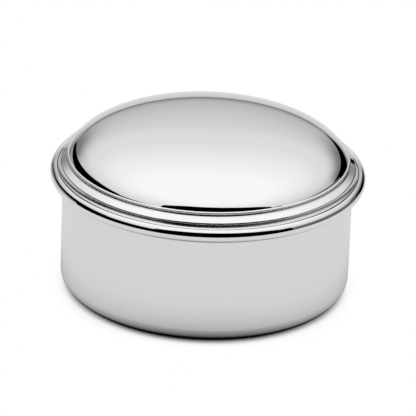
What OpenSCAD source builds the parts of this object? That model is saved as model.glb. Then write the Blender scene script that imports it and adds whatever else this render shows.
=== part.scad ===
// Round rosary box of polished silver plate, with a lift-off domed lid.
// Origin: centre of the flat underside, where the box stands.  +Z is up, in millimetres.

/* [Body] */
// Outside diameter of the straight body wall
body_d = 70; // [60:0.5:90]
// Height of the body from the table to its mouth edge, where the lid rests
body_h = 27.2; // [24:0.2:45]
// Thickness of the body sheet
body_wall = 0.9; // [0.7:0.1:1.4]
// Outside radius of the round bottom corner
corner_r = 3.9; // [2.5:0.1:6]
// Rounding of the two edges of the mouth
mouth_round = 0.2; // [0.1:0.05:0.3]

/* [Lid rim] */
// Diameter of the round wire at the edge of the lid
bead_d = 3.9; // [3.6:0.1:4.1]
// How far the wire's widest line stands outside the body wall
bead_overhang = 3; // [2.7:0.1:3.4]
// Angle up the wire's round at which its crisp top edge begins, in degrees
crest_angle = 57; // [52:1:62]
// Rounding of that edge
crest_round = 0.1; // [0.05:0.05:0.2]
// Width of the groove's outer flank, from the crisp edge down to the bottom
groove_w = 0.75; // [0.6:0.05:0.9]
// Depth of the groove below the crisp edge
groove_h = 0.4; // [0.3:0.05:0.5]
// Rounding of the groove's bottom
groove_round = 0.1; // [0.05:0.05:0.2]
// Width of the groove's inner flank, from the bottom up to the cove
cove_w = 0.6; // [0.5:0.05:0.7]
// Height of that flank
cove_h = 0.55; // [0.45:0.05:0.8]
// Rounding of the cove, where the flank turns up into the riser
cove_round = 1.5; // [0.8:0.05:1.6]
// Lean of the riser from its foot to its shoulder
riser_w = 0.1; // [0.05:0.05:0.3]
// Height of the riser
riser_h = 0.9; // [0.85:0.05:1.2]
// Rounding of the riser's shoulder
shoulder_round = 0.5; // [0.2:0.05:0.6]
// Width of the long slope above the riser
slope_w = 1.6; // [1.4:0.05:1.9]
// Height of the long slope
slope_h = 0.95; // [0.7:0.05:1.2]
// Rounding of the hollow at the top of the slope
hollow_round = 0.8; // [0.4:0.05:0.85]
// Width from the hollow in to the foot of the dome
foot_w = 0.45; // [0.4:0.05:0.6]
// Height of the dome's foot line above the hollow
foot_h = 1.25; // [1.1:0.05:1.5]
// Diameter of the fine bead round the foot of the dome
foot_bead_d = 0.7; // [0.6:0.05:0.8]
// How far the middle of that bead stands outside the dome's foot line
foot_bead_out = 0.25; // [0.2:0.05:0.3]
// How far the middle of that bead lies below the dome's foot line
foot_bead_drop = 0.5; // [0.45:0.05:0.6]

/* [Dome] */
// Thickness of the dome sheet
dome_wall = 0.8; // [0.6:0.1:1.2]
// Height of the crown above the dome's foot line
dome_rise = 8.6; // [5:0.1:14]
// Depth below the foot line at which the dome's curve would stand upright
dome_drop = 3.4; // [2:0.1:6]
// Depth of the rebate in the mount that takes the foot of the dome
dome_rebate = 0.3; // [0.1:0.05:0.5]
// Fullness of the dome across: 2 is an ellipse, more is squarer
dome_full_r = 2.2; // [1.8:0.05:2.8]
// Fullness of the dome upwards: 2 is an ellipse, more is squarer
dome_full_z = 2.4; // [1.8:0.05:2.8]

/* [Lid bezel] */
// Depth of the bezel ring inside the mouth of the body
bezel_depth = 5; // [3:0.5:8]
// Thickness of the bezel ring
bezel_wall = 0.7; // [0.5:0.1:1]
// Gap all round between the bezel and the body wall
bezel_gap = 0.15; // [0.1:0.05:0.3]
// Height of the bezel's soldered seat inside the mount
bezel_seat = 1; // [0.5:0.1:2]
// Chamfer at the bezel's lower outer edge, which leads it into the body
bezel_lead = 0.3; // [0.1:0.05:0.4]

/* [Lining] */
// Thickness of the card behind the wall velvet
wall_card_t = 0.8; // [0.5:0.1:1.2]
// Thickness of the wall velvet with its pile
velvet_t = 1; // [0.8:0.1:1.6]
// Gap between the lining's top edge and the bezel when the box is shut
lining_gap = 0.6; // [0.3:0.1:2]
// Thickness of the card disc under the base pad
base_card_t = 1.2; // [0.8:0.1:2]
// Thickness of the base pad at its edge
pad_edge_h = 2.4; // [2:0.1:3.4]
// How far the middle of the base pad is crowned above its edge
pad_crown_h = 1.4; // [0.5:0.1:3]
// Gap between the base pad and the wall lining round it
pad_gap = 0.2; // [0.1:0.05:0.5]

/* [Hidden] */
$fn = 180;

silver = "#d9dadb";
card = "#c9bd9f";
velvet = "#1f2c5c";

// Body
body_r = body_d / 2;
bore_r = body_r - body_wall;
inner_corner_r = corner_r - body_wall;

// Lid rim: radii from the axis, heights from the table
bead_r = bead_d / 2;
bead_mid = [body_r + bead_overhang - bead_r, body_h + bead_r];
crest_start = bead_mid + bead_r * [cos(crest_angle), sin(crest_angle)];
crest = crest_start + crest_round * [-sin(crest_angle), cos(crest_angle)];
groove = crest - [groove_w, groove_h];
cove = groove + [-cove_w, cove_h];
shoulder = cove + [-riser_w, riser_h];
hollow = shoulder + [-slope_w, slope_h];
dome_foot_r = hollow[0] - foot_w;
top_z = hollow[1] + foot_h;
foot_bead_r = foot_bead_d / 2;
foot_bead_mid = [dome_foot_r + foot_bead_out, top_z - foot_bead_drop];
foot_bead_start = foot_bead_mid + foot_bead_r * [cos(75), -sin(75)];
mount_bore_r = dome_foot_r - dome_wall;
seat_z = top_z - dome_rebate;

// Dome: its outer curve stands upright at the springing height and crosses the foot line
// at the foot radius
spring_z = top_z - dome_drop;
curve_h = dome_rise + dome_drop;
curve_r = dome_foot_r / pow(1 - pow(dome_drop / curve_h, dome_full_z), 1 / dome_full_r);
foot_above_spring = dome_drop - dome_rebate;
curve_steps = 48;

// Bezel
bezel_out_r = bore_r - bezel_gap;
bezel_in_r = bezel_out_r - bezel_wall;
bezel_low_z = body_h - bezel_depth;

// Lining
lining_low_z = corner_r;
lining_top_z = bezel_low_z - lining_gap;
wall_card_in_r = bore_r - wall_card_t;
velvet_in_r = wall_card_in_r - velvet_t;
base_card_r = bore_r - inner_corner_r;
pad_low_z = body_wall + base_card_t;
pad_r = velvet_in_r - pad_gap;
pad_edge_r = pad_edge_h / 2;
pad_crown_r = pad_r - pad_edge_r;
pad_steps = 16;

// Half section of a plain ring between two radii and two heights.
module band(r_in, r_out, z_low, z_high) {
    translate([r_in, z_low])
        square([r_out - r_in, z_high - z_low]);
}

// Unit vector from one corner of a closed outline to the next or the one before.  A corner
// is its radius, its height and its rounding.
function side(corners, i, step) =
    let (
        next = corners[(i + step + len(corners)) % len(corners)],
        way = [next[0] - corners[i][0], next[1] - corners[i][1]])
    way / norm(way);

// Half the angle between the two sides that meet at a corner.
function half_angle(corners, i) = acos(side(corners, i, -1) * side(corners, i, 1)) / 2;

// Where the rounding of a corner meets the side before or after it.
function rounding_end(corners, i, step) =
    [corners[i][0], corners[i][1]]
    + side(corners, i, step) * corners[i][2] / tan(half_angle(corners, i));

// Centre of a corner's rounding, on the line that halves the corner.
function rounding_mid(corners, i) =
    let (middle = side(corners, i, -1) + side(corners, i, 1))
    [corners[i][0], corners[i][1]]
    + middle / norm(middle) * corners[i][2] / sin(half_angle(corners, i));

// Rounds of the corners that turn left, if left is true, or else of those that turn right.
// Each is cut to the kite between its corner, its centre and the two points where it meets
// the sides, so a large one leaves the rest of the section alone.
module corner_rounds(corners, left) {
    for (i = [0 : len(corners) - 1])
        if (corners[i][2] > 0 && left == (cross(side(corners, i, 1), side(corners, i, -1)) > 0))
            intersection() {
                translate(rounding_mid(corners, i))
                    circle(r = corners[i][2]);
                polygon([
                    [corners[i][0], corners[i][1]],
                    rounding_end(corners, i, 1),
                    rounding_mid(corners, i),
                    rounding_end(corners, i, -1)
                ]);
            }
}

// Section with rounded corners, its outline walked anticlockwise.
module rounded_section(corners) {
    points = [for (i = [0 : len(corners) - 1])
        for (step = corners[i][2] > 0 ? [-1, 1] : [1])
            rounding_end(corners, i, step)];
    difference() {
        union() {
            polygon(points);
            corner_rounds(corners, true);
        }
        corner_rounds(corners, false);
    }
}

// Half section of a round solid with a flat base and a round bottom corner.
module round_bottomed(r, z_low, z_high, corner) {
    band(0, r - corner, z_low, z_high);
    band(0, r, z_low + corner, z_high);
    translate([r - corner, z_low + corner])
        circle(r = corner);
}

// Points of a quarter superellipse, from a height above its springing up to the crown.
function superellipse(r, h, low) =
    let (low_angle = asin(pow(low / h, dome_full_z / 2)))
    [for (i = [0 : curve_steps])
        let (a = low_angle + (90 - low_angle) * i / curve_steps)
        [r * pow(cos(a), 2 / dome_full_r), h * pow(sin(a), 2 / dome_full_z)]];

// Half section of the solid under a dome curve, thinned by an inset on every side.
module under_dome(inset) {
    points = superellipse(curve_r - inset, curve_h - inset, foot_above_spring);
    translate([0, spring_z])
        polygon(concat([[0, foot_above_spring]], points));
}

// Drawn cup: floor and wall in one sheet, with a round corner between them.
module body_cup() {
    color(silver)
        rotate_extrude() {
            difference() {
                round_bottomed(body_r, 0, body_h - mouth_round, corner_r);
                round_bottomed(bore_r, body_wall, body_h, inner_corner_r);
            }
            band(bore_r + mouth_round, body_r - mouth_round, body_h - 2 * mouth_round, body_h);
            for (r = [bore_r + mouth_round, body_r - mouth_round])
                translate([r, body_h - mouth_round])
                    circle(r = mouth_round);
        }
}

// Card strip glued round the inside of the wall.
module wall_card() {
    color(card)
        rotate_extrude()
            band(wall_card_in_r, bore_r, lining_low_z, lining_top_z - velvet_t);
}

// Velvet on the inner face of the card, turned over its top edge.
module wall_velvet() {
    color(velvet)
        rotate_extrude() {
            band(velvet_in_r, wall_card_in_r, lining_low_z, lining_top_z - velvet_t);
            intersection() {
                band(velvet_in_r, bore_r, lining_top_z - velvet_t, lining_top_z);
                union() {
                    band(velvet_in_r + velvet_t, bore_r, 0, lining_top_z);
                    translate([velvet_in_r + velvet_t, lining_top_z - velvet_t])
                        circle(r = velvet_t);
                }
            }
        }
}

// Card disc on the floor of the body.
module base_card() {
    color(card)
        translate([0, 0, body_wall])
            cylinder(r = base_card_r, h = base_card_t);
}

// Velvet pad on the card disc: the middle is raised as a shallow parabola, and the edge
// is a half round.
module base_pad() {
    crown = [for (i = [0 : pad_steps - 1])
        let (part = i / pad_steps)
        [pad_crown_r * part, pad_edge_h + pad_crown_h * (1 - part * part)]];
    edge = [for (i = [0 : pad_steps])
        let (a = 90 - 180 * i / pad_steps)
        [pad_crown_r + pad_edge_r * cos(a), pad_edge_r + pad_edge_r * sin(a)]];
    color(velvet)
        translate([0, 0, pad_low_z])
            rotate_extrude()
                polygon(concat([[0, 0]], crown, edge));
}

// Section of the whole moulding round the lid.  From the outside in: the round of the wire
// up to its crisp edge, a groove, a riser with a rounded shoulder, a long slope and a hollow,
// then the fine bead at the foot of the dome.  The rounded section reaches into the wire, so
// the two fuse into one.
module moulding() {
    reach = 3 * bead_r;
    intersection() {
        translate(bead_mid)
            circle(r = bead_r);
        translate(bead_mid)
            polygon([[0, 0], [0, -reach], [reach, -reach],
                     reach * [cos(crest_angle), sin(crest_angle)]]);
    }
    rounded_section([
        [mount_bore_r, body_h, 0],
        [bead_mid[0], body_h, 0],
        [bead_mid[0] + bead_r / 2, bead_mid[1], 0],
        [crest_start[0], crest_start[1], 0],
        [crest[0], crest[1], crest_round],
        [groove[0], groove[1], groove_round],
        [cove[0], cove[1], cove_round],
        [shoulder[0], shoulder[1], shoulder_round],
        [hollow[0], hollow[1], hollow_round],
        [foot_bead_start[0], foot_bead_start[1], 0],
        [foot_bead_mid[0], foot_bead_mid[1], 0],
        [mount_bore_r, foot_bead_mid[1], 0]
    ]);
    translate(foot_bead_mid)
        circle(r = foot_bead_r);
    band(mount_bore_r, foot_bead_mid[0], body_h, seat_z);
}

// Turned ring that carries the lid, out to the bottom of the groove, with a seat below for
// the bezel and a rebate above for the dome.
module stepped_mount() {
    color(silver)
        rotate_extrude()
            difference() {
                intersection() {
                    moulding();
                    band(mount_bore_r, groove[0], body_h, top_z);
                }
                band(0, bezel_out_r, 0, body_h + bezel_seat);
                under_dome(0);
            }
}

// Round wire with a flat, soldered round the outside of the mount.
module rim_bead() {
    color(silver)
        rotate_extrude()
            intersection() {
                moulding();
                band(groove[0], bead_mid[0] + bead_d, body_h, top_z);
            }
}

// Domed sheet of even thickness, its foot seated in the rebate of the mount.
module lid_dome() {
    color(silver)
        rotate_extrude()
            difference() {
                under_dome(0);
                under_dome(dome_wall);
            }
}

// Plain ring soldered into the mount, which drops inside the body and locates the lid.
module lid_bezel() {
    color(silver)
        rotate_extrude()
            polygon([
                [bezel_in_r, bezel_low_z],
                [bezel_out_r - bezel_lead, bezel_low_z],
                [bezel_out_r, bezel_low_z + bezel_lead],
                [bezel_out_r, body_h + bezel_seat],
                [bezel_in_r, body_h + bezel_seat]
            ]);
}

body_cup();
wall_card();
wall_velvet();
base_card();
base_pad();
stepped_mount();
rim_bead();
lid_dome();
lid_bezel();
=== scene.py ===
"""Round rosary box in polished silver plate, with a lift-off domed lid and a velvet lining.

Metres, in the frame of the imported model: origin at the centre of the underside, +Z up.
Every silver piece is a turned surface: its section is an outline in (radius, height),
carried once round the axis.
"""
import math

import bpy
import numpy as np
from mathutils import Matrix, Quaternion, Vector


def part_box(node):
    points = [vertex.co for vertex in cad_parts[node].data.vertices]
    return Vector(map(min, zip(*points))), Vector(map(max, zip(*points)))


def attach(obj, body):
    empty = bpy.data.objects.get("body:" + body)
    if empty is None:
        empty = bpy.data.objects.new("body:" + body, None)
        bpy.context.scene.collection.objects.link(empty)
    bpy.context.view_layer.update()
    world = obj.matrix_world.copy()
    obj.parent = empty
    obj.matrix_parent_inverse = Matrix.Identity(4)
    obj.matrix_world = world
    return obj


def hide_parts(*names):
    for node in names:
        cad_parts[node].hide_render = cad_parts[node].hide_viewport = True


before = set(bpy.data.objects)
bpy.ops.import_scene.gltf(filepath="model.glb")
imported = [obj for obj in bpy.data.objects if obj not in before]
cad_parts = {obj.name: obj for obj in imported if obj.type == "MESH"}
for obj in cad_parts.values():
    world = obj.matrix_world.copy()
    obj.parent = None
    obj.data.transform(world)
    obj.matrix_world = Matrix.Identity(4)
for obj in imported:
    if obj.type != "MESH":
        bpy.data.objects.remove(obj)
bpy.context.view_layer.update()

MM = 0.001
TURN_STEPS = 256            # steps round the axis of a turned silver piece


# ---------------------------------------------------------------- sizes

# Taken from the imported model
BODY_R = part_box("body_cup")[1].x
BODY_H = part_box("body_cup")[1].z
RIM_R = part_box("rim_bead")[1].x
CROWN_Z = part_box("lid_dome")[1].z
BEZEL_LOW_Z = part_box("lid_bezel")[0].z
BEZEL_TOP_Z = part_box("lid_bezel")[1].z
BEZEL_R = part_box("lid_bezel")[1].x
LINING_LOW_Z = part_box("wall_velvet")[0].z
LINING_TOP_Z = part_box("wall_velvet")[1].z
VELVET_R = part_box("base_pad")[1].x + 0.2 * MM    # inner face of the wall velvet
PAD_LOW_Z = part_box("base_pad")[0].z
PAD_TOP_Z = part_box("base_pad")[1].z
PAD_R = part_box("base_pad")[1].x

# Sheet thicknesses, edges and corners
BODY_WALL = 0.9 * MM
CORNER_R = 3.9 * MM
MOUTH_ROUND = 0.2 * MM
DOME_WALL = 0.8 * MM
BEZEL_WALL = 0.7 * MM
BEZEL_LEAD = 0.3 * MM
BEZEL_EDGE_ROUND = 0.08 * MM
VELVET_T = 1.0 * MM
BORE_R = BODY_R - BODY_WALL

# Rim of the lid, as (radius, height): the wire, then the corners of the moulding inwards
BEAD_R = 1.95 * MM
BEAD_MID = np.array([RIM_R - BEAD_R, BODY_H + BEAD_R])
CREST_ANGLE = math.radians(57)
CREST_START = BEAD_MID + BEAD_R * np.array([math.cos(CREST_ANGLE), math.sin(CREST_ANGLE)])
CREST_ROUND = 0.1 * MM
CREST = CREST_START + CREST_ROUND * np.array([-math.sin(CREST_ANGLE), math.cos(CREST_ANGLE)])
GROOVE = CREST + np.array([-0.75, -0.4]) * MM
GROOVE_ROUND = 0.1 * MM
CREVICE_W = 0.15 * MM       # how far the painted shade reaches up either flank of the groove
COVE = GROOVE + np.array([-0.6, 0.55]) * MM
COVE_ROUND = 1.5 * MM
SHOULDER = COVE + np.array([-0.1, 0.9]) * MM
SHOULDER_ROUND = 0.5 * MM
HOLLOW = SHOULDER + np.array([-1.6, 0.95]) * MM
HOLLOW_ROUND = 0.8 * MM
FOOT_R = HOLLOW[0] - 0.45 * MM
TOP_Z = HOLLOW[1] + 1.25 * MM
FOOT_BEAD_R = 0.35 * MM
FOOT_BEAD_MID = np.array([FOOT_R + 0.25 * MM, TOP_Z - 0.5 * MM])
FOOT_BEAD_LOW = -75         # where the hollow runs into that bead, in degrees
FOOT_BEAD_TOP = 120         # and where that bead ends inside the dome's foot
MOUNT_BORE_R = FOOT_R - DOME_WALL

# Dome: a superellipse that stands upright at the springing height
DOME_DROP = 3.4 * MM
DOME_REBATE = 0.3 * MM
DOME_FULL_R = 2.2
DOME_FULL_Z = 2.4
SPRING_Z = TOP_Z - DOME_DROP
CURVE_H = CROWN_Z - SPRING_Z
CURVE_R = FOOT_R / (1 - (DOME_DROP / CURVE_H) ** DOME_FULL_Z) ** (1 / DOME_FULL_R)


# ---------------------------------------------------------------- outlines

def line(start, end):
    """Straight stretch of an outline. Walking with the solid on the left, the normal points
    right. Rows are radius, height and the normal's two parts."""
    run = np.array([start, end], float)
    along = (run[1] - run[0]) / np.linalg.norm(run[1] - run[0])
    return np.column_stack([run, np.tile([along[1], -along[0]], (2, 1))])


def arc(centre, radius, start, end, steps=24):
    """Round stretch: centre plus radius times (cos a, sin a), a in degrees. Going
    anticlockwise the normal points away from the centre, and clockwise towards it."""
    angle = np.radians(np.linspace(start, end, steps + 1))
    out = np.column_stack([np.cos(angle), np.sin(angle)])
    return np.column_stack([np.asarray(centre) + radius * out, out * np.sign(end - start)])


def rounded(corners, steps=8):
    """Runs through corners of (radius, height, rounding): straight lines joined by tangent
    arcs. An arc starts rounding / tan(half the corner's angle) before its corner."""
    points = np.array([corner[:2] for corner in corners], float)
    runs = []
    last = points[0]
    for before, here, after, radius in zip(
            points, points[1:], points[2:], [corner[2] for corner in corners[1:-1]]):
        back = (before - here) / np.linalg.norm(before - here)
        ahead = (after - here) / np.linalg.norm(after - here)
        half = math.acos(np.clip(back @ ahead, -1, 1)) / 2
        first = here + back * radius / math.tan(half)
        bisector = (back + ahead) / np.linalg.norm(back + ahead)
        centre = here + bisector * radius / math.sin(half)
        runs.append(line(last, first))
        last = here + ahead * radius / math.tan(half)
        if radius:
            angles = [math.degrees(math.atan2(*(p - centre)[::-1])) for p in (first, last)]
            turn = (angles[1] - angles[0] + 180) % 360 - 180
            runs.append(arc(centre, radius, angles[0], angles[0] + turn, steps))
    runs.append(line(last, points[-1]))
    return [run for run in runs if np.linalg.norm(run[-1, :2] - run[0, :2]) > 1e-7]


def superellipse(radius, height, low, base, steps=96):
    """Quarter superellipse over the height `base`, from `low` above it up to the axis:
    radius * cos(a) ** (2 / p) out and height * sin(a) ** (2 / q) up. The normal is the
    gradient of (r / radius) ** p + (z / height) ** q."""
    first = math.asin((low / height) ** (DOME_FULL_Z / 2))
    a = np.linspace(first, math.pi / 2, steps + 1)
    r = radius * np.maximum(np.cos(a), 0) ** (2 / DOME_FULL_R)
    z = height * np.sin(a) ** (2 / DOME_FULL_Z)
    r[-1] = 0
    normal = np.column_stack([
        (r / radius) ** (DOME_FULL_R - 1) * DOME_FULL_R / radius,
        (z / height) ** (DOME_FULL_Z - 1) * DOME_FULL_Z / height])
    normal /= np.linalg.norm(normal, axis=1, keepdims=True)
    return np.column_stack([r, z + base, normal])


def reverse(run):
    """The same stretch walked the other way, with the solid on its other side."""
    return run[::-1] * [1, 1, -1, -1]


# ---------------------------------------------------------------- meshes

def mesh_object(name, vertices, faces):
    """One object at the origin, with its place in its mesh."""
    mesh = bpy.data.meshes.new(name)
    mesh.from_pydata(vertices.tolist(), [], faces)
    mesh.shade_smooth()
    piece = bpy.data.objects.new(name, mesh)
    bpy.context.scene.collection.objects.link(piece)
    return piece


def turned(name, runs, finishes, closed=True, steps=TURN_STEPS):
    """Surface of revolution of an outline made of runs, with one finish number a run.
    Point (r, z) at the angle t goes to (r cos t, r sin t, z). A closed outline joins its
    last point to its first, and an open one starts and ends on the axis. The corners of
    each face keep their own run's normals, so edges stay crisp and curves smooth. Each run
    starts where the one before it ends, and a run along the axis leaves no face."""
    rows = np.concatenate([np.column_stack([run[:-1], run[1:]]) for run in runs])
    mark = np.repeat(finishes, [len(run) - 1 for run in runs])
    points = rows[:, :2] if closed else np.vstack([rows[:, :2], runs[-1][-1:, :2]])
    angle = np.arange(steps) * 2 * math.pi / steps
    turn = np.column_stack([np.cos(angle), np.sin(angle)])

    pole = points[:, 0] < 1e-7
    count = np.where(pole, 1, steps)
    offset = np.cumsum(count) - count
    vertices = np.concatenate([
        np.column_stack([r * turn[:n], np.full(n, z)]) for (r, z), n in zip(points, count)])

    step = np.arange(steps)
    after = (step + 1) % steps
    faces, normals, material = [], [], []
    for k, row in enumerate(rows):
        low, high = k, (k + 1) % len(points)
        if pole[low] and pole[high]:
            continue
        ring = [(low, step, row[2:4]), (low, after, row[2:4]),
                (high, after, row[6:8]), (high, step, row[6:8])]
        if pole[low]:
            del ring[1]
        if pole[high]:
            del ring[2]
        faces += np.stack([
            np.where(pole[p], offset[p], offset[p] + i) for p, i, _ in ring], axis=1).tolist()
        corner = np.stack([
            np.column_stack([n[0] * turn[i], np.full(steps, n[1])]) for _, i, n in ring], axis=1)
        normals.append(corner.reshape(-1, 3))
        material += [mark[k]] * steps
    piece = mesh_object(name, vertices, faces)
    piece.data.polygons.foreach_set("material_index", np.array(material, np.int32))
    piece.data.normals_split_custom_set(np.concatenate(normals).tolist())
    return piece


def dress(piece, materials, body, replaced=()):
    """Gives a piece its materials and its body, and hides the imported parts that it replaces."""
    for material in materials:
        piece.data.materials.append(material)
    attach(piece, body)
    if replaced:
        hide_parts(*replaced)
    return piece


# ---------------------------------------------------------------- materials

def linear(code):
    """Linear colour of an sRGB hex code: ((c + 0.055) / 1.055) ** 2.4 above the toe."""
    values = [int(code[i:i + 2], 16) / 255 for i in (1, 3, 5)]
    return [c / 12.92 if c <= 0.04045 else ((c + 0.055) / 1.055) ** 2.4 for c in values] + [1]


def add(tree, kind, sockets=None, **settings):
    """Adds one node. Sockets, by name or number, take a value or another node's output."""
    node = tree.nodes.new(kind)
    for key, value in settings.items():
        setattr(node, key, value)
    for key, value in (sockets or {}).items():
        if isinstance(value, bpy.types.NodeSocket):
            tree.links.new(value, node.inputs[key])
        else:
            node.inputs[key].default_value = value
    return node


def new_material(name):
    """An empty node material with its output, and its tree."""
    material = bpy.data.materials.new(name)
    material.use_nodes = True
    material.node_tree.nodes.clear()
    return material, material.node_tree


def blend_colours(tree, factor, first, second):
    """Colour that goes from the first to the second as the factor goes from 0 to 1."""
    mix = add(tree, "ShaderNodeMix", {"Factor": factor, 6: first, 7: second}, data_type="RGBA")
    return mix.outputs[2]


def grain(tree, place, size, detail, **sockets):
    """Noise between 0 and 1 whose largest marks are about `size` metres across."""
    noise = add(tree, "ShaderNodeTexNoise",
                {"Vector": place, "Scale": 1 / size, "Detail": detail, **sockets})
    return noise.outputs["Fac"]


def object_place(tree):
    """Place on the object, in metres."""
    return add(tree, "ShaderNodeTexCoord").outputs["Object"]


def silver_shader(tree, roughness, place, marks, depth_mm, cast=("#f5f6f8", "#f8f8f9")):
    """Metal with its roughness and tone drifting a little over some 14 mm, as handling
    leaves it, and marks of a given depth. Bare silver plate is nearly white, very slightly
    cool."""
    haze = grain(tree, place, 14 * MM, 3.0)
    rough = add(tree, "ShaderNodeMapRange",
                {"Value": haze, "From Min": 0.3, "From Max": 0.7,
                 "To Min": roughness * 0.7, "To Max": roughness * 1.3})
    bump = add(tree, "ShaderNodeBump",
               {"Height": marks, "Distance": depth_mm * MM, "Strength": 1.0})
    tone = blend_colours(tree, haze, linear(cast[0]), linear(cast[1]))
    shader = add(tree, "ShaderNodeBsdfPrincipled",
                 {"Base Color": tone, "Metallic": 1.0,
                  "Roughness": rough.outputs[0], "Normal": bump.outputs[0]})
    add(tree, "ShaderNodeOutputMaterial", {0: shader.outputs[0]})


def buffed_silver_plate():
    """Silver plate buffed to a mirror: hairlines 0.15 mm apart and a few hundredths of a
    micrometre deep leave only the faintest softness at the edge of a reflection."""
    material, tree = new_material("buffed_silver_plate")
    place = object_place(tree)
    silver_shader(tree, 0.03, place, grain(tree, place, 0.15 * MM, 1.0), 0.00002)
    return material


def spun_silver_plate():
    """Silver plate as it comes off the spinning lathe, for the insides: rings 0.4 mm apart
    spread each reflection into a soft sheen."""
    material, tree = new_material("spun_silver_plate")
    place = object_place(tree)
    split = add(tree, "ShaderNodeSeparateXYZ", {0: place})
    flat = add(tree, "ShaderNodeCombineXYZ", {0: split.outputs[0], 1: split.outputs[1]})
    radius = add(tree, "ShaderNodeVectorMath", {0: flat.outputs[0]}, operation="LENGTH")
    section = add(tree, "ShaderNodeCombineXYZ",
                  {0: radius.outputs["Value"], 1: split.outputs[2]})
    rings = add(tree, "ShaderNodeTexNoise",
                {"Vector": section.outputs[0], "Scale": 1 / (0.4 * MM), "Detail": 2.0},
                noise_dimensions="2D")
    silver_shader(tree, 0.16, place, rings.outputs["Fac"], 0.0006)
    return material


def unbuffed_silver_plate():
    """Silver plate in the coves, where the buffing wheel hardly reaches: a satin surface
    with a warm breath of tarnish."""
    material, tree = new_material("unbuffed_silver_plate")
    place = object_place(tree)
    silver_shader(tree, 0.27, place, grain(tree, place, 0.15 * MM, 1.0), 0.00002,
                  ("#f4f2ed", "#f8f6f2"))
    return material


def groove_shade_silver_plate():
    """Painted shade in the bottom of the groove: a hair-thin brown-black line, dark colour
    standing in for the shade that falls there.
    """
    material, tree = new_material("groove_shade_silver_plate")
    place = object_place(tree)
    # The two dark colours below are painted shade, with a high roughness.
    silver_shader(tree, 0.5, place, grain(tree, place, 0.1 * MM, 2.0), 0.002,
                  ("#45423e", "#625e59"))
    return material


def rayon_velvet():
    """Rayon pile velvet, deep blue: the pile swallows light face on and shows a pale bloom
    at grazing angles. Tufts are drawn 0.35 mm apart, and the nap leans in patches."""
    material, tree = new_material("rayon_velvet")
    place = object_place(tree)
    tufts = grain(tree, place, 0.35 * MM, 4.0, Roughness=0.7)
    nap = grain(tree, place, 5 * MM, 3.0, Distortion=0.6)
    lean = blend_colours(tree, nap, linear("#141f4b"), linear("#2a3c80"))
    depth = add(tree, "ShaderNodeMapRange",
                {"Value": tufts, "From Min": 0.3, "From Max": 0.7,
                 "To Min": 0.55, "To Max": 1.15})
    shade = add(tree, "ShaderNodeVectorMath",
                {0: lean, "Scale": depth.outputs[0]}, operation="SCALE")
    bump = add(tree, "ShaderNodeBump", {"Height": tufts, "Distance": 0.25 * MM, "Strength": 0.8})
    shader = add(tree, "ShaderNodeBsdfPrincipled",
                 {"Base Color": shade.outputs[0], "Roughness": 0.9, "Sheen Weight": 0.7,
                  "Sheen Roughness": 0.35, "Sheen Tint": linear("#8fa0e0"),
                  "Specular IOR Level": 0.2, "Normal": bump.outputs[0]})
    add(tree, "ShaderNodeOutputMaterial", {0: shader.outputs[0]})
    return material


def pulp_card():
    """Grey-buff pulp card: matt, with fibres 0.6 mm long and paler and darker flecks."""
    material, tree = new_material("pulp_card")
    fibres = grain(tree, object_place(tree), 0.6 * MM, 6.0, Roughness=0.65)
    tone = blend_colours(tree, fibres, linear("#b3a684"), linear("#d8cdb0"))
    bump = add(tree, "ShaderNodeBump", {"Height": fibres, "Distance": 0.08 * MM, "Strength": 0.7})
    shader = add(tree, "ShaderNodeBsdfPrincipled",
                 {"Base Color": tone, "Roughness": 0.85, "Normal": bump.outputs[0]})
    add(tree, "ShaderNodeOutputMaterial", {0: shader.outputs[0]})
    return material


# ---------------------------------------------------------------- silver pieces

# Finish numbers of the silver pieces. CREVICE paints shade into the groove.
OUTSIDE, INSIDE, RECESS, CREVICE = 0, 1, 2, 3


def cup(finish):
    """Drawn cup: floor and wall in one sheet, walked from the axis under the floor, up the
    wall, over the mouth and down again to the axis."""
    corner = (BODY_R - CORNER_R, CORNER_R)
    inner_r = CORNER_R - BODY_WALL
    inner = (BORE_R - inner_r, BODY_WALL + inner_r)
    runs = [line((0, 0), (corner[0], 0)), arc(corner, CORNER_R, -90, 0, 32)]
    mouth = rounded([
        (BODY_R, CORNER_R), (BODY_R, BODY_H, MOUTH_ROUND), (BORE_R, BODY_H, MOUTH_ROUND),
        (BORE_R, inner[1])])
    floor = [arc(inner, inner_r, 0, -90, 24), line((inner[0], BODY_WALL), (0, BODY_WALL))]
    finishes = [OUTSIDE] * (2 + len(mouth) - 1) + [INSIDE] * 3
    return dress(turned("cup", runs + mouth + floor, finishes, closed=False),
                 finish, "body", ["body_cup"])


def moulding():
    """Outside of the moulding in two lists of runs: the wire's up to the bottom of the
    groove, and the mount's from there to the dome. The parting lies where the groove's
    rounding is lowest, so the two share it."""
    side = math.acos((GROOVE[0] - BEAD_MID[0]) / BEAD_R)
    wire = arc(BEAD_MID, BEAD_R, -math.degrees(side), math.degrees(CREST_ANGLE), 64)
    low = math.radians(FOOT_BEAD_LOW)
    foot = FOOT_BEAD_MID + FOOT_BEAD_R * np.array([math.cos(low), math.sin(low)])
    # Where the painted shade of the groove begins, on the crest's flank and on the cove's
    groove_shade_edge = [GROOVE + (corner - GROOVE) * CREVICE_W / np.linalg.norm(corner - GROOVE)
             for corner in (CREST, COVE)]
    runs = rounded([
        CREST_START, (*CREST, CREST_ROUND), (*groove_shade_edge[0], 0), (*GROOVE, GROOVE_ROUND),
        (*groove_shade_edge[1], 0), (*COVE, COVE_ROUND),
        (*SHOULDER, SHOULDER_ROUND), (*HOLLOW, HOLLOW_ROUND), foot], 16)
    bottom = next(i for i, run in enumerate(runs)
                  if len(run) > 2 and run[0, 0] > GROOVE[0] > run[-1, 0])
    parting = next(i for i, row in enumerate(runs[bottom]) if row[0] < GROOVE[0])
    seam = runs[bottom][parting]
    bead_runs = [wire, *runs[:bottom], runs[bottom][:parting + 1]]
    mount_runs = [runs[bottom][parting:], *runs[bottom + 1:],
                  arc(FOOT_BEAD_MID, FOOT_BEAD_R, FOOT_BEAD_LOW, FOOT_BEAD_TOP, 32)]
    return bead_runs, mount_runs, seam


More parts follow.
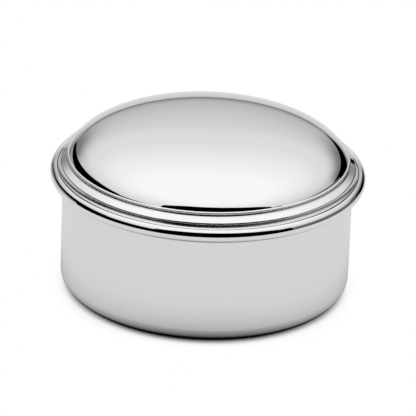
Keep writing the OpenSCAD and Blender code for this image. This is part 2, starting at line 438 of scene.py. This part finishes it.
def mount(finish):
    """Turned ring of the lid, with a seat for the bezel below and the dome's seat above."""
    outside = moulding()[1]
    seam, top = outside[0][0, :2], outside[-1][-1, :2]
    low = BEAD_MID[1] - math.sqrt(BEAD_R ** 2 - (seam[0] - BEAD_MID[0]) ** 2)
    under = [line((BEZEL_R, BODY_H), (BEAD_MID[0], BODY_H)),
             arc(BEAD_MID, BEAD_R, -90, math.degrees(math.atan2(
                 low - BEAD_MID[1], seam[0] - BEAD_MID[0])), 12)]
    seat = TOP_Z - DOME_REBATE
    inside = rounded([
        top, (FOOT_R, seat, 0), (MOUNT_BORE_R, seat, 0), (MOUNT_BORE_R, BEZEL_TOP_Z, 0),
        (BEZEL_R, BEZEL_TOP_Z, 0), (BEZEL_R, BODY_H)])
    joint = line(under[-1][-1, :2], seam)
    runs = [*under, joint, *outside, *inside]
    # The outside, from the parting inwards: the groove and its flank carry painted shade, the
    # cove's two flanks and the cove unbuffed, the shoulder and the slope buffed, the hollow
    # and the rise to the fine bead unbuffed, and the bead buffed
    finishes = ([OUTSIDE] * (len(under) + 1) + [CREVICE] * 2 + [RECESS] * 3 + [OUTSIDE] * 2
                + [RECESS] * 2 + [OUTSIDE] + [INSIDE] * len(inside))
    return dress(turned("mount", runs, finishes), finish, "lid", ["stepped_mount"])


def bead(finish):
    """Round wire with a flat, soldered round the outside of the mount. The last two runs
    before the flat lie in the groove."""
    runs = moulding()[0]
    flat = line(runs[-1][-1, :2], runs[0][0, :2])
    # The two runs in the groove get the painted shade.
    finishes = [OUTSIDE] * (len(runs) - 2) + [CREVICE] * 2 + [OUTSIDE]
    return dress(turned("bead", [*runs, flat], finishes),
                 finish, "lid", ["rim_bead"])


def dome(finish):
    """Domed sheet of even thickness, walked up its outside to the crown and down inside."""
    low = DOME_DROP - DOME_REBATE
    outer = superellipse(CURVE_R, CURVE_H, low, SPRING_Z)
    inner = reverse(superellipse(CURVE_R - DOME_WALL, CURVE_H - DOME_WALL, low, SPRING_Z))
    foot = line(inner[-1, :2], outer[0, :2])
    crown = line(outer[-1, :2], inner[0, :2])
    return dress(turned("dome", [outer, crown, inner, foot], [OUTSIDE] + [INSIDE] * 3),
                 finish, "lid", ["lid_dome"])


def bezel(finish):
    """Plain ring that drops inside the mouth of the body."""
    inner_r = BEZEL_R - BEZEL_WALL
    runs = rounded([
        (inner_r, BEZEL_LOW_Z), (BEZEL_R - BEZEL_LEAD, BEZEL_LOW_Z, BEZEL_EDGE_ROUND),
        (BEZEL_R, BEZEL_LOW_Z + BEZEL_LEAD, BEZEL_EDGE_ROUND), (BEZEL_R, BEZEL_TOP_Z, 0),
        (inner_r, BEZEL_TOP_Z, 0), (inner_r, BEZEL_LOW_Z)])
    return dress(turned("bezel", runs, [OUTSIDE] * len(runs)),
                 finish, "lid", ["lid_bezel"])


# ---------------------------------------------------------------- velvet

SEAM_ANGLE = math.pi / 2    # the wall velvet's two ends meet at the back
SEAM_GAP = 0.12 * MM        # half the opening between them at the pile's face
SEAM_FALL = 0.45 * MM       # how far the pile falls away at the seam
SEAM_WIDTH = 0.5 * MM       # and how far to either side
LINING_STEPS = 3 * TURN_STEPS
PUFF = 0.13 * MM            # how far the face moves outwards at a gather of the top edge
WAVE_SHARE = 0.6            # share of that by which it waves further down
PUCKERS = 26                # gathers round the velvet's turned top edge

PAD_STEPS = 96              # steps round the pad
PAD_EDGE_H = 2.9 * MM       # height of its edge once it has swollen
PAD_LIFT = 0.3 * MM         # it is lifted by this, and what still hangs below is pressed flat
PAD_PUCKERS = 34            # gathers where its velvet is drawn under
GATHER_IN = 0.35 * MM       # how far a gather draws the rim in
GATHER_DOWN = 0.3 * MM      # and down
GATHER_REACH = 5 * MM       # how far in from the rim the gathers fade out
GATHER_LOW = 1.2 * MM       # height above which they pull down
SIM_SCALE = 8               # the pad is simulated this much larger, where Cloth is steady
SIM_VOXEL = 9 * MM
SIM_PRESSURE = 4.0
SIM_FRAMES = 20
SIM_CAP = 0.55 * MM         # furthest that a point of the pad may swell


def velvet_section():
    """Closed outline of the wall velvet in (radius, height), walked down its pile face from
    the rounded top, under its raw lower edge, up its back and out over the card's top."""
    back, low, top = VELVET_R + VELVET_T, LINING_LOW_Z, LINING_TOP_Z
    turn = np.radians(np.linspace(90, 180, 11))
    bend = np.array([back, top - VELVET_T]) + VELVET_T * np.column_stack(
        [np.cos(turn), np.sin(turn)])
    face = np.column_stack([np.full(24, VELVET_R), np.linspace(top - VELVET_T, low, 25)[1:]])
    rear = np.column_stack([np.full(9, back), np.linspace(low, top - VELVET_T, 9)])
    tail = np.array([[BORE_R, top - VELVET_T], [BORE_R, top]])
    return np.vstack([bend, face, rear, tail])


def wall_lining(material):
    """Strip of velvet stretched round inside the wall, its two ends butted at the back. Face
    points move outwards by up to PUFF, as (1 - cos) / 2 of the pucker count times the angle
    and as the cube of the height, and by a slow wave down the wall. Towards the seam the
    pile falls away as a bell curve."""
    section = velvet_section()
    gap = SEAM_GAP / VELVET_R
    angle = SEAM_ANGLE + np.linspace(gap, 2 * math.pi - gap, LINING_STEPS + 1)
    rows = []
    for a in angle:
        r, z = section[:, 0].copy(), section[:, 1]
        face = r < VELVET_R + 0.9 * VELVET_T
        up = np.clip((z - LINING_LOW_Z) / (LINING_TOP_Z - LINING_LOW_Z), 0, 1)
        gather = (1 - math.cos(PUCKERS * a + 0.7 * math.sin(5 * a))) / 2
        wave = (1 + np.sin(3 * a + 9 * up + 1.3 * math.sin(2 * a))) / 2
        away = min((a - angle[0]), (angle[-1] - a)) * VELVET_R
        seam = SEAM_FALL * math.exp(-(away / SEAM_WIDTH) ** 2)
        r[face] += (PUFF * (gather * up ** 3 + WAVE_SHARE * wave) + seam)[face]
        rows.append(np.column_stack([r * math.cos(a), r * math.sin(a), z]))
    count = len(section)
    vertices = np.concatenate(rows)
    faces = []
    for i in range(LINING_STEPS):
        for k in range(count):
            n = (k + 1) % count
            faces.append([i * count + k, i * count + n, (i + 1) * count + n,
                          (i + 1) * count + k])
    faces.append(list(range(count))[::-1])
    faces.append([LINING_STEPS * count + k for k in range(count)])
    piece = mesh_object("wall_lining", vertices, faces)
    dress(piece, [material], "body", ["wall_velvet"])
    return piece


def swell(piece):
    """Blows the pad up with Cloth, at SIM_SCALE its size, and returns its new points."""
    scene = bpy.context.scene
    remesh = piece.modifiers.new("remesh", "REMESH")
    remesh.mode = "VOXEL"
    remesh.voxel_size = SIM_VOXEL
    bpy.context.view_layer.objects.active = piece
    bpy.ops.object.modifier_apply(modifier="remesh")
    start = np.array([v.co for v in piece.data.vertices])
    cloth = piece.modifiers.new("cloth", "CLOTH")
    cloth.settings.use_pressure = True
    cloth.settings.uniform_pressure_force = SIM_PRESSURE
    cloth.settings.effector_weights.gravity = 0
    for frame_number in range(1, SIM_FRAMES + 1):
        scene.frame_set(frame_number)
    bpy.ops.object.modifier_apply(modifier="cloth")
    scene.frame_set(1)
    end = np.array([v.co for v in piece.data.vertices])
    move = end - start
    length = np.linalg.norm(move, axis=1, keepdims=True)
    cap = SIM_CAP * SIM_SCALE
    return start + move * np.minimum(1, cap / np.maximum(length, 1e-9))


def pad(material):
    """Velvet drawn over wadding on the card disc: a drum with a crowned top is blown up a
    little, then its rim is gathered and its underside pressed flat on the card. A gather is
    the sixth power of a cosine of the angle, and fades out as the square of the way in."""
    rim = PAD_R - SIM_CAP
    height = PAD_TOP_Z - PAD_LOW_Z
    edge_h = PAD_EDGE_H - SIM_CAP
    crown = height - SIM_CAP - 0.1 * MM - edge_h
    part = np.linspace(0, 1, 17)[1:]
    top = np.column_stack([(rim - edge_h / 2) * part, edge_h + crown * (1 - part ** 2)])[::-1]
    turn = np.radians(np.linspace(-90, 90, 9))
    side = np.column_stack([rim - edge_h / 2 + edge_h / 2 * np.cos(turn),
                            edge_h / 2 + edge_h / 2 * np.sin(turn)])
    section = np.vstack([side, top[1:]]) * SIM_SCALE
    spin = np.arange(PAD_STEPS) * 2 * math.pi / PAD_STEPS
    vertices = [np.array([[0, 0, 0], [0, 0, (edge_h + crown) * SIM_SCALE]])]
    vertices += [np.column_stack([r * np.cos(spin), r * np.sin(spin), np.full(PAD_STEPS, z)])
                 for r, z in section]
    faces = []
    last = 2 + PAD_STEPS * (len(section) - 1)
    for i in range(PAD_STEPS):
        n = (i + 1) % PAD_STEPS
        faces.append([0, 2 + n, 2 + i])
        faces.append([1, last + i, last + n])
        for k in range(len(section) - 1):
            a, b = 2 + PAD_STEPS * k, 2 + PAD_STEPS * (k + 1)
            faces.append([a + i, a + n, b + n, b + i])
    piece = mesh_object("pad", np.concatenate(vertices), faces)
    points = swell(piece)
    points /= SIM_SCALE
    radius = np.linalg.norm(points[:, :2], axis=1)
    angle = np.arctan2(points[:, 1], points[:, 0])
    gather = np.abs(np.cos(PAD_PUCKERS / 2 * angle + 0.6 * np.sin(3 * angle))) ** 6
    near = np.clip(1 - (PAD_R - radius) / GATHER_REACH, 0, 1) ** 2
    points[:, :2] *= (1 - GATHER_IN * gather * near / np.maximum(radius, MM))[:, None]
    points[:, 2] -= GATHER_DOWN * gather * near * (points[:, 2] > GATHER_LOW)
    points[:, 2] = np.clip(points[:, 2] + PAD_LIFT, 0, height - 0.05 * MM) + PAD_LOW_Z
    points[:, :2] *= PAD_R / np.linalg.norm(points[:, :2], axis=1).max()
    piece.data.vertices.foreach_set("co", points.ravel())
    piece.data.update()
    piece.data.shade_smooth()
    smooth = piece.modifiers.new("subdivision", "SUBSURF")
    smooth.levels = 1
    smooth.render_levels = 1
    dress(piece, [material], "body", ["base_pad"])
    return piece


# ---------------------------------------------------------------- studio

CAMERA_PLACE = Vector((0, -0.88855, 0.42187))
CAMERA_AIM = Vector((0.00033, 0, 0.01970))
CAMERA_ROLL = 0.03905
LENS = 348.9                # millimetres on a 36 mm sensor

FLOOR_R = 0.165
TABLE_STEPS = 96            # corners of the round table top
FLOOR_DROP = 0.02 * MM      # the floor lies this far under the box, so no faces coincide
SKY_SAMPLES = 16            # rays that feel for open sky
TABLE_REACH = 0.032         # how far away the box still keeps light off the table
SIDE_LEAN = 0.3             # how far the light on the table leans in from either side
MIRROR_REACH = 0.04         # how far away the box dims the table as the silver mirrors it
TABLE_TONE = 0.70           # the open table as the silver mirrors it
CONTACT_DARK = 0.35         # share of open sky at which the mirrored table is black
CONTACT_LIGHT = 0.92        # and at which it has its full tone
SHADOW_DARK = 0.074         # share of open sky at which the camera sees the table black
SHADOW_LIGHT = 0.535        # and from which it sees plain white

# The lit tent round the box, as (elevation in degrees, tone from 0 to 1)
TENT = [(-90, .78), (-20, .80), (-8, .72), (3, .62), (5, .18), (7, .37), (10, .50),
        (15, .56), (20, .62), (25, .68), (29, .755), (35, .78), (45, .885), (52, .935), (62, 1.0)]


def heading(azimuth, elevation):
    """Direction at an azimuth and elevation in degrees. Azimuth 0 is +Y and 90 is +X."""
    a, e = math.radians(azimuth), math.radians(elevation)
    return Vector((math.sin(a) * math.cos(e), math.cos(a) * math.cos(e), math.sin(e)))


# Dark cards round the tent, each by the directions of its corners, its tone and how soft
# its edge is, as the sine of an angle. A later card covers an earlier one.
CARDS = [
    # The open side behind the camera
    ([Vector((-0.80, -1, 0.95)), Vector((-0.40, -1, 1.12)), Vector((1.05, -1, 1.12)),
      Vector((1.45, -1, 0.99)), Vector((1.45, -1, -3)),
      Vector((-0.80, -1, -3))], 0.0, 0.004),
    # Soft grey falling off above the two far black cards
    ([heading(20, 18), heading(58, 18), heading(58, -30), heading(20, -30)], 0.2, 0.14),
    ([heading(-42, 18), heading(-20, 18), heading(-20, -30), heading(-42, -30)], 0.2, 0.14),
    # Left side: grey below, black above and beside it
    ([heading(-76, 1), heading(-26, 1), heading(-35, -14), heading(-76, -14)], 0.35, 0.02),
    ([heading(-103, 24.9), heading(-76, 23.3), heading(-76, -60), heading(-103, -60)],
     0.0, 0.01),
    ([heading(-78, 23.5), heading(-24.3, 3.7), heading(-26, 0), heading(-78, 0)], 0.0, 0.01),
    # Far right flag
    ([heading(15.4, 7), heading(60, 10), heading(35.7, -14.4)], 0.0, 0.01),
    # Near left and near right, low down
    ([heading(-143, 25), heading(-101, 22.8), heading(-101, -60), heading(-143, -60)],
     0.0, 0.01),
    ([heading(116, 25), heading(126, 25), heading(126, -60), heading(116, -60)], 0.0, 0.01),
    # Dark grey along the right side
    ([heading(50, 9), heading(78, 15), heading(116, 23), heading(116, -60), heading(50, -60)],
     0.13, 0.02),
]


def card_mask(tree, direction, corners, soft):
    """1 inside a card and 0 outside: the product, over its edges, of a smooth step in the
    distance from the plane through the box and that edge."""
    middle = sum(corners, Vector())
    mask = None
    for here, after in zip(corners, corners[1:] + corners[:1]):
        normal = here.cross(after).normalized()
        if normal.dot(middle) < 0:
            normal.negate()
        height = add(tree, "ShaderNodeVectorMath", {0: direction, 1: normal},
                     operation="DOT_PRODUCT")
        edge = add(tree, "ShaderNodeMapRange",
                   {"Value": height.outputs["Value"], "From Min": -soft, "From Max": soft},
                   interpolation_type="SMOOTHSTEP")
        if mask is None:
            mask = edge.outputs[0]
        else:
            both = add(tree, "ShaderNodeMath", {0: mask, 1: edge.outputs[0]},
                       operation="MULTIPLY")
            mask = both.outputs[0]
    return mask


def studio_world():
    """A pale tent, brightest overhead, with dark cards; the camera itself sees plain white."""
    world = bpy.data.worlds.new("studio")
    bpy.context.scene.world = world
    world.use_nodes = True
    tree = world.node_tree
    tree.nodes.clear()
    direction = add(tree, "ShaderNodeTexCoord").outputs["Generated"]
    height = add(tree, "ShaderNodeSeparateXYZ", {0: direction}).outputs[2]
    angle = add(tree, "ShaderNodeMath", {0: height}, operation="ARCSINE")
    share = add(tree, "ShaderNodeMapRange",
                {"Value": angle.outputs[0], "From Min": -math.pi / 2, "From Max": math.pi / 2})
    ramp = add(tree, "ShaderNodeValToRGB", {0: share.outputs[0]})
    stops = ramp.color_ramp.elements
    stops.remove(stops[1])
    for number, (elevation, tone) in enumerate(TENT):
        place = (elevation + 90) / 180
        stop = stops[0] if number == 0 else stops.new(place)
        stop.position = place
        stop.color = (tone, tone, tone, 1)
    light = ramp.outputs[0]
    for corners, tone, soft in CARDS:
        mask = card_mask(tree, direction, corners, soft)
        light = blend_colours(tree, mask, light, (tone, tone, tone, 1))
    tent = add(tree, "ShaderNodeBackground", {"Color": light, "Strength": 1.0})
    white = add(tree, "ShaderNodeBackground", {"Color": (1, 1, 1, 1), "Strength": 1.0})
    ray = add(tree, "ShaderNodeLightPath")
    mix = add(tree, "ShaderNodeMixShader",
              {0: ray.outputs["Is Camera Ray"], 1: tent.outputs[0], 2: white.outputs[0]})
    add(tree, "ShaderNodeOutputWorld", {0: mix.outputs[0]})


def studio_floor():
    """Round white table top. The camera sees it as a white glow with a painted shadow, darkened
    only where the box keeps the light off it, as ambient occlusion finds it. In the silver it is
    a greyer glow with its own painted shadow, and the light that counts leans outwards from the
    box to either side. Other rays find plain white paper."""
    angle = np.linspace(0, 2 * math.pi, TABLE_STEPS, endpoint=False)
    vertices = np.column_stack([FLOOR_R * np.cos(angle), FLOOR_R * np.sin(angle),
                                np.full(TABLE_STEPS, -FLOOR_DROP)])
    table = mesh_object("table_top", vertices, [list(range(TABLE_STEPS))])
    material, tree = new_material("white_table")
    paper = add(tree, "ShaderNodeBsdfDiffuse", {"Color": linear("#fbfbfb")})
    open_sky = add(tree, "ShaderNodeAmbientOcclusion", {"Distance": TABLE_REACH},
                   samples=SKY_SAMPLES)
    away = add(tree, "ShaderNodeVectorMath", {0: object_place(tree)}, operation="NORMALIZE")
    lean = add(tree, "ShaderNodeVectorMath",
               {0: away.outputs[0], 1: (SIDE_LEAN, 0, 0), 2: (0, 0, 1)},
               operation="MULTIPLY_ADD")
    light = add(tree, "ShaderNodeVectorMath", {0: lean.outputs[0]}, operation="NORMALIZE")
    near_sky = add(tree, "ShaderNodeAmbientOcclusion",
                   {"Distance": MIRROR_REACH, "Normal": light.outputs[0]},
                   samples=SKY_SAMPLES)
    # Painted shadow for the silver: the glow dims near the box as the leaning occlusion finds it
    contact = add(tree, "ShaderNodeMapRange",
                  {"Value": near_sky.outputs["AO"], "From Min": CONTACT_DARK,
                   "From Max": CONTACT_LIGHT}, interpolation_type="SMOOTHSTEP")
    mirrored = add(tree, "ShaderNodeEmission",
                   {"Color": contact.outputs[0], "Strength": TABLE_TONE})
    # Painted shadow for the camera: the white glow dims near the box as the occlusion finds it
    lift = add(tree, "ShaderNodeMapRange",
               {"Value": open_sky.outputs["AO"], "From Min": SHADOW_DARK,
                "From Max": SHADOW_LIGHT})
    seen = add(tree, "ShaderNodeEmission", {"Color": lift.outputs[0], "Strength": 1.0})
    ray = add(tree, "ShaderNodeLightPath")
    in_metal = add(tree, "ShaderNodeMixShader",
                   {0: ray.outputs["Is Glossy Ray"], 1: paper.outputs[0],
                    2: mirrored.outputs[0]})
    mix = add(tree, "ShaderNodeMixShader",
              {0: ray.outputs["Is Camera Ray"], 1: in_metal.outputs[0], 2: seen.outputs[0]})
    add(tree, "ShaderNodeOutputMaterial", {0: mix.outputs[0]})
    table.data.materials.append(material)


def studio_camera():
    """Long lens at the photograph's angle; the roll turns the view about the lens's axis."""
    data = bpy.data.cameras.new("camera")
    data.sensor_width = 36
    data.lens = LENS
    data.clip_start = 0.05
    data.clip_end = 10
    camera = bpy.data.objects.new("camera", data)
    bpy.context.scene.collection.objects.link(camera)
    camera.location = CAMERA_PLACE
    camera.rotation_mode = "QUATERNION"
    look = (CAMERA_AIM - CAMERA_PLACE).to_track_quat("-Z", "Y")
    camera.rotation_quaternion = look @ Quaternion((0, 0, 1), CAMERA_ROLL)
    bpy.context.scene.camera = camera
    bpy.context.scene.view_settings.view_transform = "Standard"


# ---------------------------------------------------------------- assembly

studio_camera()
studio_world()
studio_floor()

velvet = rayon_velvet()
card = pulp_card()
silver = [buffed_silver_plate(), spun_silver_plate(), unbuffed_silver_plate(),
          groove_shade_silver_plate()]

cup(silver)
mount(silver)
bead(silver)
dome(silver)
bezel(silver)
wall_lining(velvet)
pad(velvet)

for node in ("wall_card", "base_card"):
    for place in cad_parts[node].material_slots:
        place.material = card
